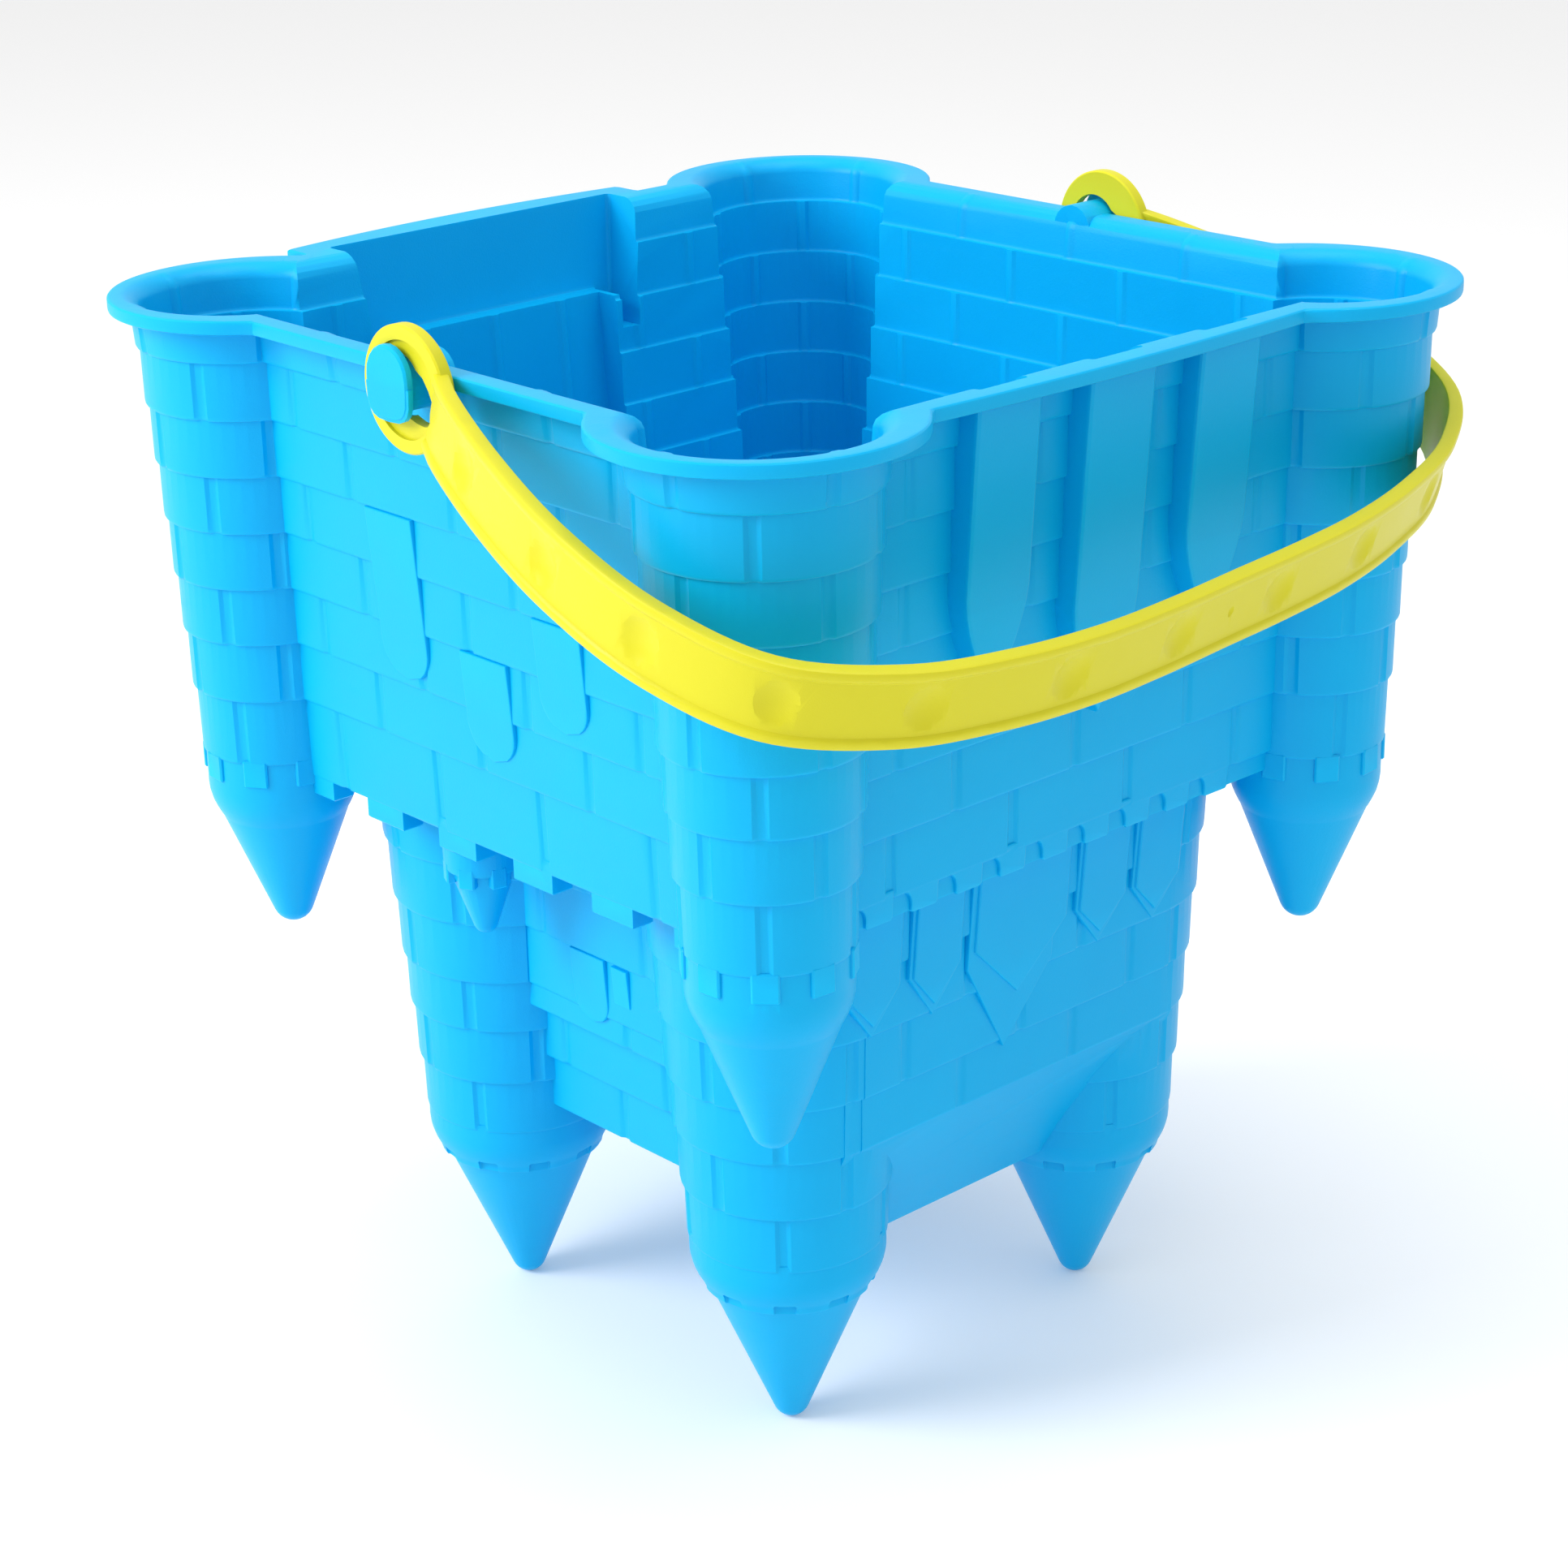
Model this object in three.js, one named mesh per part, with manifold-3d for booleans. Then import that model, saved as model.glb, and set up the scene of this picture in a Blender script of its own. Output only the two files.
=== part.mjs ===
// Castle sand bucket: one thin-walled moulded shell and one moulded bail handle.
// Millimetres, +Z up. Heights are written as depths below the rim, the face a child levels the sand to.
import * as THREE from 'three';
import { mergeVertices } from 'three/addons/utils/BufferGeometryUtils.js';
import Module from 'manifold-3d';

// ---- overall sizes -----------------------------------------------------------------------------
const WALL_HALF = 88.2;           // the bucket's half width: brick face of a wall at the rim
const LEDGE = 101.2;              // underside of the upper tier
const LOW_TIER = 91;              // from there down to the lower edge of the lower towers' battlement rings
const RING = LEDGE + LOW_TIER;
const BUCKET_X = -10.4;           // the bucket's axis stands this far off the frame's Z axis, so that the
                                  // frame's origin is the middle of bucket and lowered handle together
// ---- moulded skin ------------------------------------------------------------------------------
const WALL = 1.8;                 // skin thickness behind the deepest part of the brick relief
const STEP = 0.8;                 // each brick course overhangs the next by this much
const SEG = 20;                   // facets round a tower
const WALL_DRAFT = 0.08;          // how much a wall closes in per mm of depth

// ---- upper tier --------------------------------------------------------------------------------
const COURSES = [10.5, 22.5, 34.5, 46.5, 58.7, 70.9, 83.6, 97.9].filter((d) => d < LEDGE - 1);  // lower edges
const TOWER = WALL_HALF - 11.4;   // tower axes, along X and Y
const TOWER_R = 23.85;            // tower brick face at the rim
const TOWER_DRAFT = 0.0766;
const COLLAR = LEDGE + 8.8;       // plain collar under the last course: rounds in from here
const COLLAR_ROUND = [3, 2.4];    // how far down and how far in that round goes before the cone
const CONE_SLOPE = 0.40;          // radius lost per mm of depth on every cone
const BALL = 4.34, LOW_BALL = 4.995;      // radius of the ball that ends an upper and a lower cone

// ---- lower tier --------------------------------------------------------------------------------
const LOW_COURSES = [16, 29.8, 43.4, 55.2, 68, 80.3].map((d) => LEDGE + d).filter((d) => d < RING - 4);
const LOW_TOWER = WALL_HALF - 44.8;       // lower tower axes
const LOW_TOWER_R = 27.81;        // lower tower brick face at the ledge
const LOW_TOWER_DRAFT = 0.0913;
const RING_IN = 2.8;              // the cone starts this far inside the ring
const LOW_BASE = LOW_TOWER_R - LOW_TOWER_DRAFT * LOW_TIER - RING_IN;
const RIM_Z = coneTip(LOW_BASE, RING, LOW_BALL);      // rim height above the lower cone tips it stands on
const LOW_X = WALL_HALF - 16.9, LOW_X_DRAFT = 0.09;   // lower walls facing X: brick face at the ledge
const LOW_Y = WALL_HALF - 29.7, LOW_Y_DRAFT = 0.075;  // lower walls facing Y
const EAVES_X = RING - 35.8;      // the X walls turn in as a roof from here
const EAVES_Y = RING - 42.2;      // the Y walls set back from here
const SETBACK = 3.3;
const Y_FOOT = RING - 16.7;       // lower edge of the Y walls
const FLOOR = RING - 5.2;         // flat floor between the lower towers
const FLOOR_X = LOW_X - 21.3, FLOOR_Y = LOW_Y - 32.5;   // half sizes of that floor

// ---- rim ---------------------------------------------------------------------------------------
const RIM_T = 2.8;                // rim flange thickness
const RIM_OUT = 5.4;              // how far its straight edges stand out from the walls
const RIM_HALF = WALL_HALF + RIM_OUT;
const RIM_R = TOWER_R + 6.55;     // rim corner circles: radius
const CORNER = TOWER - 1.8;       // rim corner circles: centre distance, along X and Y
const RIM_REACH = CORNER + RIM_R;

// ---- wall features -----------------------------------------------------------------------------
const PAD_PROUD = 4.2;            // tall lancet panels on the +X side
const BAY = { proud: 9.4, from: -45.5, to: 37.5, end: 30,         // wide bay at the top of the -X side,
  arch: 26, lintel: 22.5 };                                       // cut back over the gate to this depth
const GATE = { proud: 6.4, from: -28.5, to: 28.5, end: LEDGE - 4.2 };     // gatehouse front below it
const BAY_LIP = 4.2;              // rim flange beyond the bay, at its ends and outside it
const WINDOW_PROUD = 0.8;         // round-ended windows on the Y sides
const PANEL_PROUD = 1.9;          // short pointed panels under the ledge on the X sides
const MERLON = [12, 4.6, 4.0];    // teeth under the ledge on the Y sides: width, depth, height
const CORBEL = [5.4, 2.2, 4.4];   // teeth on the lower border of the X sides: width, depth, height
const TURRET_AT = [-16, WALL_HALF - 17.2];        // small hanging turret: X, and distance towards the Y side
const TURRET_R = 7.9, TURRET_END = LEDGE + 16.3, TURRET_TIP = LEDGE + 24.5;

// ---- handle and its pins -----------------------------------------------------------------------
const PIN_DEPTH = 3.0;            // hinge axis below the rim
const PIN_R = 5.2;                // pin shank
const PIN_ROOT = WALL_HALF - 1.6; // the shank starts inside the wall
const EYE_T = 2.2;                // eye web thickness
const EYE_GAP = 0.35;             // eye clear of the rim's edge
const EYE_Y = RIM_HALF + EYE_GAP + EYE_T / 2;     // mid-thickness of the handle's eyes
const EYE_R = PIN_R + 7, EYE_OFF = 2.7;   // eye disc, its centre this far from the hinge towards the strap
const EYE_RIM = 2.8, RIM_PROUD = 0.7;     // raised edge bead: width, height
const HOLE_GAP = 1.0;             // eye hole over pin, all round
const HOLE_OFF = 0.6;             // the round of the hole stands this far towards the strap
const HOLE_END = PIN_R + 4.4, HOLE_HALF = PIN_R - 1.6;    // the hole runs on towards the strap as a slot
const FAR_SLIDE = 2 * HOLE_OFF;   // that slack lets the +Y eye sit back on its pin by this much
const HEAD_GAP = 0.3;             // pin head clear of the bead
const HEAD = [2 * PIN_R + 0.9, 2 * PIN_R + 4.3, 1.6];     // pin head: width, height, thickness
const STRAP = [15.8, 3.2];        // strap: width, thickness over the beads
const TILT = 18.2;                // lowered handle, degrees below level
const LEAN = 7.32;                // the soft bail hangs askew: this much more reach at -Y, less at +Y
// half of the strap's middle line from hinge to crossbar. At the eye: [reach from the hinge, how far out of
// the eye]; round the rim's corner: [how far inside the crossbar's reach, how far out of the rim's reach]
const AT_EYE = [[EYE_R - 0.7, 1.15], [EYE_R + 4.8, 3.85]];
const CROSSBAR = RIM_REACH + 21.2;        // reach of the crossbar's middle line
const ROUND_RIM = [[90.6, -0.2], [69, 4.2], [45.7, 3.8], [23.6, -4.2], [10.1, -23.9], [3.8, -45.8],
  [0.8, -66.8], [0, -86.4]];
const SLACK = STRAP[1] / 2 - 1.6; // a thicker strap stands off the rim by its extra half thickness
const BAIL = [...AT_EYE.map(([s, out]) => [s, EYE_Y + out]),
  ...ROUND_RIM.map(([back, out]) => [CROSSBAR - back, RIM_REACH + out])]
  .map(([s, y]) => [s + SLACK, y + SLACK]);
const DIMPLE_R = 10, DIMPLE_DEEP = 1.2;   // shallow round dimples along the strap
const MARK = 0.51;                // share of the strap's length, from -Y, the dimples are spread about
const DIMPLES = [0.037, 0.11, 0.187, 0.253, 0.318, 0.383, 0.46].flatMap((u) => [MARK - u, MARK + u]);

// ---- solid helpers -----------------------------------------------------------------------------
const wasm = await Module();
wasm.setup();

function solid(geometry) {
  const g = geometry.clone();
  g.deleteAttribute('normal');
  g.deleteAttribute('uv');
  const m = mergeVertices(g, 1e-4);
  const mesh = new wasm.Mesh({
    numProp: 3,
    vertProperties: new Float32Array(m.attributes.position.array),
    triVerts: new Uint32Array(m.index.array),
  });
  return new wasm.Manifold(mesh);
}

const join = (list) => list.reduce((a, b) => a.add(b));

function toMesh(manifold, name, color) {
  const m = manifold.getMesh();
  const g = new THREE.BufferGeometry();
  g.setAttribute('position', new THREE.BufferAttribute(new Float32Array(m.vertProperties), 3));
  g.setIndex(new THREE.BufferAttribute(new Uint32Array(m.triVerts), 1));
  g.computeVertexNormals();
  const mesh = new THREE.Mesh(g, new THREE.MeshStandardMaterial({ color, roughness: 0.45, metalness: 0 }));
  mesh.name = name;
  return mesh;
}

// a solid of revolution from [radius, depth] points, top to bottom, starting and ending on the axis
function turned(points, x, y) {
  const g = new THREE.LatheGeometry(points.map(([r, d]) => new THREE.Vector2(r, -d)).reverse(), SEG);
  g.rotateX(Math.PI / 2);
  g.translate(x, y, RIM_Z);
  return solid(g);
}

// a closed outline given as [across, depth] points, pushed along X or Y through the whole bucket
function pushed(points, along, from, to) {
  const shape = new THREE.Shape(points.map(([a, d]) => new THREE.Vector2(a, -d)));
  const g = new THREE.ExtrudeGeometry(shape, { depth: to - from, bevelEnabled: false, curveSegments: 6 });
  g.translate(0, 0, from);
  g.rotateX(Math.PI / 2);                       // outline upright, extrusion along -Y
  if (along === 'X') g.rotateZ(Math.PI / 2);    // extrusion along +X, outline across Y
  else flip(g.scale(1, -1, 1));                 // extrusion along +Y, outline across X
  g.translate(0, 0, RIM_Z);
  return solid(g);
}

function flip(g) {
  if (!g.index) g.setIndex([...Array(g.attributes.position.count).keys()]);
  const i = g.index.array;
  for (let k = 0; k < i.length; k += 3) [i[k], i[k + 1]] = [i[k + 1], i[k]];
}

function box(w, l, h, x, y, z) {
  return solid(new THREE.BoxGeometry(w, l, h).translate(x, y, z));
}

const mirrorX = (points) => [...points, ...points.map(([a, d]) => [-a, d]).reverse()];

// ---- profiles ----------------------------------------------------------------------------------
const face = (half, draft) => (d) => half - draft * d;

// brick face of courses whose lower edges overhang: [half size, depth] from `top` down to `bottom`
function coursed(half, courses, top, bottom) {
  const points = [[half(Math.max(top, 0)), top]];
  for (const d of courses) {
    if (d <= top || d >= bottom) continue;
    points.push([half(d), d], [half(d) - STEP, d]);
  }
  points.push([half(bottom) - 0.4 * STEP, bottom]);
  return points;
}

// depth of a cone's rounded tip: radius r at depth d, ending in a ball
function coneTip(r, d, ball) {
  return d + r / CONE_SLOPE - ball * (Math.sqrt(1 + 1 / CONE_SLOPE ** 2) - 1);
}

// cone end with a rounded tip: [radius, depth] points from its base down to the tip
function coneEnd(r, d, tip) {
  const angle = Math.atan(CONE_SLOPE);
  const apex = d + r / CONE_SLOPE;
  const ball = (apex - tip) / (1 / Math.sin(angle) - 1);
  const points = [[r, d]];
  for (const a of [angle, 0.85]) points.push([ball * Math.cos(a), tip - ball + ball * Math.sin(a)]);
  points.push([0, tip]);
  return points;
}

// the same cone, moved inwards by the skin
function innerConeEnd(r, d, tip) {
  const angle = Math.atan(CONE_SLOPE);
  return coneEnd(r - WALL / Math.cos(angle), d, tip - WALL - 0.6);
}

// ---- the shell ---------------------------------------------------------------------------------
const corners = [[1, 1], [-1, 1], [-1, -1], [1, -1]];
const ABOVE = -6;                 // the hollow's solids are carried above the rim to open it

function upperTowers(inner) {
  const r = face(TOWER_R, TOWER_DRAFT);
  const cut = inner ? STEP + WALL : 0;
  const collar = r(LEDGE) - 0.3 * STEP;
  const [down, inward] = COLLAR_ROUND;
  const base = collar - inward;
  const tip = coneTip(base, COLLAR + down, BALL);
  const end = (inner ? innerConeEnd : coneEnd)(base, COLLAR + down, tip);
  const last = COURSES[COURSES.length - 1];
  const side = inner ? [[r(0) - cut, ABOVE], [collar - WALL, last], [collar - WALL, COLLAR - WALL]]
    : [...coursed(r, COURSES, 0.4, last + 0.3), [collar, last + 0.4], [collar, COLLAR],
      [collar - 0.3 * inward, COLLAR + 0.6 * down]];
  return corners.map(([i, j]) => turned([[0, side[0][1]], ...side, ...end], i * TOWER, j * TOWER));
}

function lowerTowers(inner) {
  const r = face(LOW_TOWER_R + LOW_TOWER_DRAFT * LEDGE, LOW_TOWER_DRAFT);
  const cut = inner ? STEP + WALL : 0;
  const end = (inner ? innerConeEnd : coneEnd)(LOW_BASE, RING, RIM_Z);
  const side = inner ? [[r(LEDGE) - cut, LEDGE - 8], [r(RING) - cut - 1, RING - 4]]
    : [...coursed(r, LOW_COURSES, LEDGE - 3, RING)];
  return corners.map(([i, j]) => turned([[0, side[0][1]], ...side, ...end], i * LOW_TOWER, j * LOW_TOWER));
}

// a block whose X walls and Y walls each follow their own profile
function walled(profileX, profileY) {
  const far = RIM_REACH + 20;
  return pushed(mirrorX(profileX), 'Y', -far, far).intersect(pushed(mirrorX(profileY), 'X', -far, far));
}

function upperBlock(grow, smooth) {
  const half = face(WALL_HALF + grow, WALL_DRAFT);
  const profile = smooth ? [[half(0), ABOVE], [half(0), 0], [half(LEDGE), LEDGE - WALL]]
    : coursed(half, COURSES, 0.4, LEDGE);
  return walled(profile, profile);
}

function lowerBlock(grow, smooth) {
  const halfX = (d) => LOW_X + grow - LOW_X_DRAFT * (d - LEDGE);
  const halfY = (d) => LOW_Y + grow - LOW_Y_DRAFT * (d - LEDGE);
  const top = LEDGE - (smooth ? 8 : 3);
  const floorX = [FLOOR_X + grow * 0.6, FLOOR + (smooth ? -WALL : 0)];
  const floorY = [FLOOR_Y + grow * 0.6, floorX[1]];
  const eavesX = smooth ? [[halfX(EAVES_X), EAVES_X - WALL]] : [[halfX(EAVES_X), EAVES_X]];
  const foot = smooth ? Y_FOOT - WALL : Y_FOOT;
  const x = smooth ? [[halfX(top), top], ...eavesX, floorX]
    : [...coursed(halfX, LOW_COURSES.filter((d) => d < EAVES_X - 1), top, EAVES_X), floorX];
  const y = smooth ? [[halfY(top), top], [halfY(EAVES_Y), EAVES_Y - WALL],
    [halfY(EAVES_Y) - SETBACK, EAVES_Y - WALL], [halfY(foot) - SETBACK, foot], floorY]
    : [...coursed(halfY, LOW_COURSES.filter((d) => d < EAVES_Y - 1), top, EAVES_Y),
      [halfY(EAVES_Y) - SETBACK, EAVES_Y], [halfY(foot) - SETBACK, foot], floorY];
  return walled(x, y);
}

// outline of a panel: straight sides from `top`, then a pointed or a round end
function panelShape(centre, half, top, shoulder, tip, round) {
  const points = [[centre - half, top], [centre + half, top], [centre + half, shoulder]];
  const steps = round ? [0.3, 0.6, 0.85] : [0.5];
  for (const t of steps) {
    const a = round ? Math.sqrt(1 - t * t) : 1 - t * 0.86;
    points.push([centre + half * a, shoulder + (tip - shoulder) * t]);
  }
  points.push([centre, tip]);
  for (const t of [...steps].reverse()) {
    const a = round ? Math.sqrt(1 - t * t) : 1 - t * 0.86;
    points.push([centre - half * a, shoulder + (tip - shoulder) * t]);
  }
  points.push([centre - half, shoulder]);
  return points;
}

const PADS = [[-30, 8.4, 41, 60], [0.6, 9.0, 49, 70], [31, 8.2, 41, 60]];   // centre, half, shoulder, tip
const WINDOWS = [[-21, 7.4, 34.5, 62, 69.5], [4.3, 7.2, 58.7, 73.5, 80.5], [28.2, 7.0, 46.5, 62, 68.5]];
const PANELS = [[-43.8, 6.6, 27.3], [-26.8, 6.4, 27.3], [-2.9, 13.3, 32.8], [21.3, 6.8, 27.3],
  [38.2, 6.6, 27.3]];              // centre, half, tip below the ledge

function pads(grow, top) {
  const block = upperBlock(PAD_PROUD + grow, true);
  const shapes = PADS.map(([c, h, s, t]) => panelShape(c, h + grow, top, s, t + grow * 1.6, false));
  return join(shapes.map((p) => pushed(p, 'X', 0, 130))).intersect(block);
}

// the gatehouse on the -X side: a wide bay under the rim over a narrower front
function gatehouse(grow, top) {
  const skin = grow ? WALL : 0;
  return join([BAY, GATE].map(({ proud, from, to, end, arch, lintel }) => {
    const low = end - skin;
    const notch = arch ? [[arch - grow, low], [arch - grow, lintel - skin],
      [grow - arch, lintel - skin], [grow - arch, low]] : [];
    const outline = [[from - grow, top], [to + grow, top], [to + grow, low], ...notch, [from - grow, low]];
    return pushed(outline, 'X', -130, 0).intersect(upperBlock(proud + grow, true));
  }));
}

function windows() {
  const block = upperBlock(WINDOW_PROUD, true);
  const shapes = WINDOWS.map(([c, h, top, s, t]) => panelShape(c, h, top, s, t, true));
  return join(shapes.map((p) => pushed(p, 'Y', -130, 130))).intersect(block);
}

function panels() {
  const block = lowerBlock(PANEL_PROUD, true);
  const shapes = PANELS.map(([c, h, t]) => panelShape(c, h, LEDGE - 3, LEDGE + 20.3, LEDGE + t, false));
  return join(shapes.map((p) => pushed(p, 'X', -130, 130))).intersect(block);
}

function merlons() {
  const [w, l, h] = MERLON;
  const outer = WALL_HALF - WALL_DRAFT * LEDGE - 0.5 * STEP;
  const list = [];
  for (const side of [-1, 1]) {
    for (const x of [-36, -12, 12, 36]) {
      list.push(box(w, l, h + 1, x, side * (outer - l / 2), RIM_Z - LEDGE - h / 2 + 0.5));
    }
  }
  return list;
}

function corbels() {
  const [w, l, h] = CORBEL;
  const outer = WALL_HALF - WALL_DRAFT * LEDGE + l / 2;
  const list = [];
  for (const side of [-1, 1]) {
    for (let i = -4; i <= 4; i += 1) {
      list.push(box(l + 2, w, h, side * (outer - 1.6), i * 12, RIM_Z - LEDGE + h / 2));
    }
  }
  return list;
}

function turret() {
  const [x, y] = TURRET_AT;
  const r = TURRET_R;
  const points = [[0, LEDGE - 2], [r + 0.6, LEDGE - 2], [r, TURRET_END], [r - 1.6, TURRET_END]];
  const cone = [[1.6, TURRET_TIP - 1], [0, TURRET_TIP]];
  return [turned([...points, ...cone], x, -y), turned([...points, ...cone], -x, y)];
}

function turretHollow() {
  const [x, y] = TURRET_AT;
  const r = TURRET_R - WALL;
  const points = [[0, LEDGE - 4], [r, LEDGE - 4], [r - 0.4, TURRET_END - WALL], [0.8, TURRET_TIP - 3.4],
    [0, TURRET_TIP - 3]];
  return [turned(points, x, -y), turned(points, -x, y)];
}

function rim() {
  const list = corners.map(([i, j]) => {
    const g = new THREE.CylinderGeometry(RIM_R, RIM_R, RIM_T, 40);
    return solid(g.rotateX(Math.PI / 2).translate(i * CORNER, j * CORNER, RIM_Z - RIM_T / 2));
  });
  list.push(box(2 * RIM_HALF, 2 * CORNER, RIM_T, 0, 0, RIM_Z - RIM_T / 2));
  list.push(box(2 * CORNER, 2 * RIM_HALF, RIM_T, 0, 0, RIM_Z - RIM_T / 2));
  const far = WALL_HALF + BAY.proud + BAY_LIP;
  const wide = BAY.to - BAY.from + 2 * BAY_LIP;
  list.push(box(far, wide, RIM_T, -far / 2, (BAY.from + BAY.to) / 2, RIM_Z - RIM_T / 2));
  return join(list);
}

// a pin on each Y side: round shank, then a taller rounded head outside the handle's eye
function pins() {
  const headIn = EYE_Y + EYE_T / 2 + RIM_PROUD + HEAD_GAP;
  const [w, h, t] = HEAD;
  const list = [];
  for (const side of [-1, 1]) {
    const shank = new THREE.CylinderGeometry(PIN_R, PIN_R, headIn + 0.4 - PIN_ROOT, 24);
    shank.translate(0, side * (headIn + 0.4 + PIN_ROOT) / 2, 0);
    const outline = new THREE.Shape();
    const c = w / 2 - 0.4;
    outline.moveTo(-w / 2, -h / 2 + c);
    outline.absarc(-w / 2 + c, -h / 2 + c, c, Math.PI, 1.5 * Math.PI, false);
    outline.absarc(w / 2 - c, -h / 2 + c, c, 1.5 * Math.PI, 2 * Math.PI, false);
    outline.absarc(w / 2 - c, h / 2 - c, c, 0, 0.5 * Math.PI, false);
    outline.absarc(-w / 2 + c, h / 2 - c, c, 0.5 * Math.PI, Math.PI, false);
    const head = new THREE.ExtrudeGeometry(outline, { depth: t, bevelEnabled: false, curveSegments: 4 });
    head.rotateX(Math.PI / 2).translate(0, side > 0 ? headIn + t : -headIn, 0.4);
    for (const g of [shank, head]) list.push(solid(g.translate(0, 0, RIM_Z - PIN_DEPTH)));
  }
  return join(list);
}

function bucketShell() {
  const outer = join([upperBlock(0, false), lowerBlock(0, false), ...upperTowers(false),
    ...lowerTowers(false), pads(0, 0.4), gatehouse(0, 0.4), windows(), panels(), ...merlons(),
    ...corbels(), ...turret(), rim(), pins()]);
  const inset = -(STEP + WALL);
  const hollow = join([upperBlock(inset, true), lowerBlock(inset, true), ...upperTowers(true),
    ...lowerTowers(true), pads(inset, ABOVE), gatehouse(inset, ABOVE), ...turretHollow()]);
  return outer.subtract(hollow);
}

// ---- the handle, built flat: reach along +X, hinge along Y, strap width along Z ------------------
function bailPath() {
  const half = BAIL.map(([s, y]) => [s, -y]);
  const all = [...half, [CROSSBAR + SLACK, 0], ...half.map(([s, y]) => [s, -y]).reverse()];
  const leaned = all.map(([s, y]) => {
    const t = Math.min(Math.max((s - 7.5) / 75, 0), 1);
    const slide = FAR_SLIDE * (y + EYE_Y) / (2 * EYE_Y);
    return new THREE.Vector3(s - LEAN * (y / EYE_Y) * t * t * (3 - 2 * t) - slide, y, 0);
  });
  return new THREE.CatmullRomCurve3(leaned, false, 'centripetal');
}

function strap(path) {
  const [w, t] = STRAP;
  const b = EYE_RIM - 0.7, p = RIM_PROUD;
  const section = [[-w / 2, -t / 2], [w / 2, -t / 2], [w / 2, t / 2], [w / 2 - b, t / 2],
    [w / 2 - b - 0.5, t / 2 - p], [-w / 2 + b + 0.5, t / 2 - p], [-w / 2 + b, t / 2], [-w / 2, t / 2]];
  const shape = new THREE.Shape(section.map(([a, c]) => new THREE.Vector2(a, c)));
  return solid(new THREE.ExtrudeGeometry(shape, { steps: 44, bevelEnabled: false, extrudePath: path }));
}

function eye(side) {
  const disc = new THREE.Shape();
  disc.absarc(EYE_OFF, 0, EYE_R, 0, 2 * Math.PI, false);
  const hole = new THREE.Path();
  const r = PIN_R + HOLE_GAP;
  const a = Math.asin(HOLE_HALF / r);
  hole.absarc(HOLE_OFF, 0, r, a, 2 * Math.PI - a, false);
  hole.lineTo(HOLE_END, -HOLE_HALF);
  hole.lineTo(HOLE_END, HOLE_HALF);
  disc.holes.push(hole);
  const web = new THREE.ExtrudeGeometry(disc, { depth: EYE_T, bevelEnabled: false, curveSegments: 18 });
  web.rotateX(Math.PI / 2).translate(0, EYE_T / 2, 0);

  const ring = new THREE.Shape();
  ring.absarc(EYE_OFF, 0, EYE_R, 0, 2 * Math.PI, false);
  const bore = new THREE.Path();
  bore.absarc(EYE_OFF, 0, EYE_R - EYE_RIM, 0, 2 * Math.PI, false);
  ring.holes.push(bore);
  const tall = RIM_PROUD + 0.5;
  const bead = new THREE.ExtrudeGeometry(ring, { depth: tall, bevelEnabled: false, curveSegments: 18 });
  bead.rotateX(Math.PI / 2).translate(0, side > 0 ? EYE_T / 2 + RIM_PROUD : -EYE_T / 2 + 0.5, 0);
  return solid(web).add(solid(bead)).translate([side > 0 ? -FAR_SLIDE : 0, side * EYE_Y, 0]);
}

function dimples(path) {
  return DIMPLES.map((u) => {
    const at = path.getPointAt(u);
    const along = path.getTangentAt(u);
    const out = new THREE.Vector3(-along.y, along.x, 0).multiplyScalar(-1);
    const far = STRAP[1] / 2 - RIM_PROUD - DIMPLE_DEEP + DIMPLE_R;
    const g = new THREE.SphereGeometry(DIMPLE_R, 24, 16);
    return solid(g.translate(at.x + out.x * far, at.y + out.y * far, 0));
  });
}

function handle() {
  const path = bailPath();
  const bail = strap(path).subtract(join(dimples(path)));
  // where a bead crosses the strap a small pocket can close off: only the outside skin is kept
  const whole = join([bail, eye(-1), eye(1)]).decompose().find((body) => body.volume() > 1000);
  return whole.rotate([0, TILT, 0]).translate([0, 0, RIM_Z - PIN_DEPTH]);
}

// ---- the part ----------------------------------------------------------------------------------
const part = new THREE.Group();
part.name = 'castle_sand_bucket';
part.add(toMesh(bucketShell().translate([BUCKET_X, 0, 0]), 'bucket_shell', 0x00a3e8));
part.add(toMesh(handle().translate([BUCKET_X, 0, 0]), 'handle', 0xf0e43c));
export default part;
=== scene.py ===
# Castle sand bucket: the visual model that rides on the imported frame.
# Shapes are drawn in millimetres as (x, y, depth): the bucket's own axis at x = y = 0, depth below the rim.
import math

import bmesh
import bpy
from mathutils import Matrix, Vector


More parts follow.
